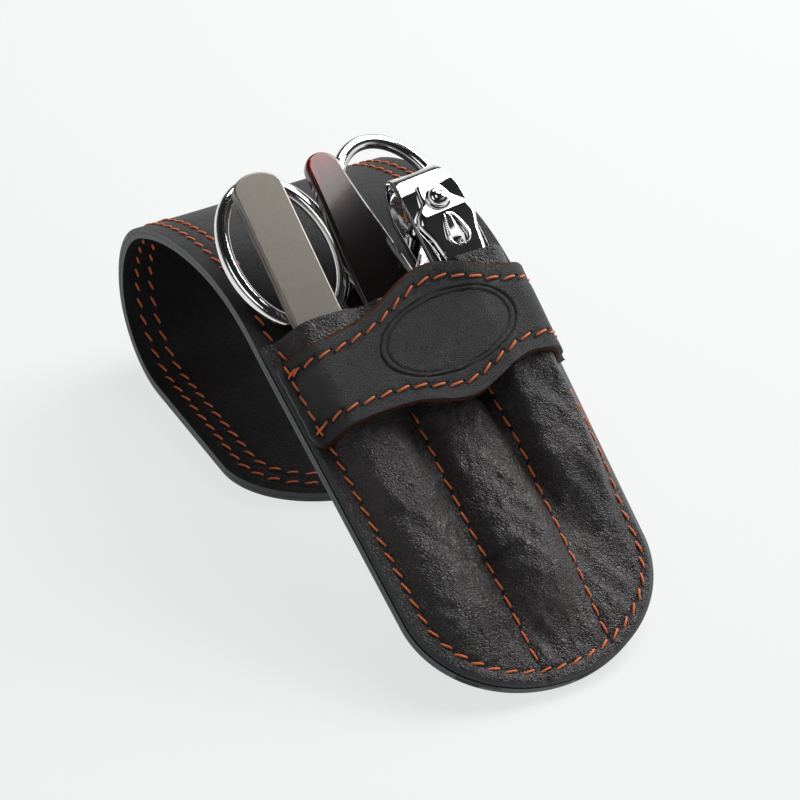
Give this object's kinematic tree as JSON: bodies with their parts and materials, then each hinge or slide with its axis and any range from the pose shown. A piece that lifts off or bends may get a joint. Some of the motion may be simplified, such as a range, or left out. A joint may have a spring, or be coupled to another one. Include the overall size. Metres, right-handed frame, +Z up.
{
  "type": "manicure set case",
  "caption": "Folding leather manicure case: a stitched pouch with sewn pockets and a closure band holds scissors, tweezers, a nail file and a nail clipper; its long flap curls under as a prop.",
  "frame": {"origin": "middle of the footprint, on the table", "axes": "+Y from the pouch's closed end towards the curled fold, the longest way; +Z up from the table; +X to the clipper's side"},
  "size_m": [0.0554, 0.1336, 0.0623],
  "materials": {
    "outer_leather": "grained, semi-gloss",
    "lining_leather": "fine grain, satin",
    "polished_steel": "polished",
    "satin_steel": "satin",
    "ruby_acetate": "polished"
  },
  "bodies": {
    "case": {"back_outer": "outer_leather", "back_lining": "lining_leather", "pocket_front": "outer_leather", "closure_band": "lining_leather", "band_backing": "outer_leather"},
    "flap": {"flap_outer": "outer_leather", "flap_lining": "lining_leather"},
    "scissors": {"scissors_left": "polished_steel", "scissors_screw": "polished_steel"},
    "scissors_right_half": {"scissors_right": "polished_steel"},
    "tweezers": {"tweezers_back_arm": "satin_steel"},
    "tweezers_front": {"tweezers_front_arm": "satin_steel"},
    "file": {"file_handle": "ruby_acetate", "file_blade": "satin_steel"},
    "clipper": {"clipper_lower_arm": "polished_steel", "clipper_pin": "polished_steel", "clipper_rivet": "polished_steel"},
    "clipper_upper": {"clipper_upper_arm": "polished_steel"},
    "clipper_lever": {"clipper_lever": "polished_steel"}
  },
  "joints": [
    {"name": "flap_fold", "type": "hinge", "parent": "case", "child": "flap", "pos_m": [0.00001, 0.02293, 0.04497], "axis": [1, 0, 0], "range_deg": [-25, 20]},
    {"name": "scissors_slide", "type": "slide", "parent": "case", "child": "scissors", "axis": [0, 0.8704, 0.4924], "range_m": [0, 0.055]},
    {"name": "scissors_pivot", "type": "hinge", "parent": "scissors", "child": "scissors_right_half", "pos_m": [-0.00199, -0.02285, 0.02671], "axis": [0, -0.4924, 0.8704], "range_deg": [-5, 0]},
    {"name": "tweezers_slide", "type": "slide", "parent": "case", "child": "tweezers", "axis": [0, 0.8441, 0.5362], "range_m": [0, 0.06]},
    {"name": "tweezers_squeeze", "type": "hinge", "parent": "tweezers", "child": "tweezers_front", "pos_m": [-0.01589, 0.02102, 0.05749], "axis": [1, 0, 0], "range_deg": [0, 0.2], "stiffness_Nm_per_rad": 1},
    {"name": "file_slide", "type": "slide", "parent": "case", "child": "file", "axis": [-0.0384, 0.8697, 0.4921], "range_m": [0, 0.055]},
    {"name": "clipper_slide", "type": "slide", "parent": "case", "child": "clipper", "axis": [-0.0802, 0.8369, 0.5414], "range_m": [0, 0.036]},
    {"name": "clipper_jaw", "type": "hinge", "parent": "clipper", "child": "clipper_upper", "pos_m": [0.01625, -0.0269, 0.02754], "axis": [0.9968, 0.0673, 0.0436], "range_deg": [-0.8, 0], "stiffness_Nm_per_rad": 2},
    {"name": "lever_swing", "type": "hinge", "parent": "clipper_upper", "child": "clipper_lever", "pos_m": [0.01265, 0.01152, 0.05055], "axis": [0, -0.5432, 0.8396], "range_deg": [-1.5, 1.5]}
  ]
}
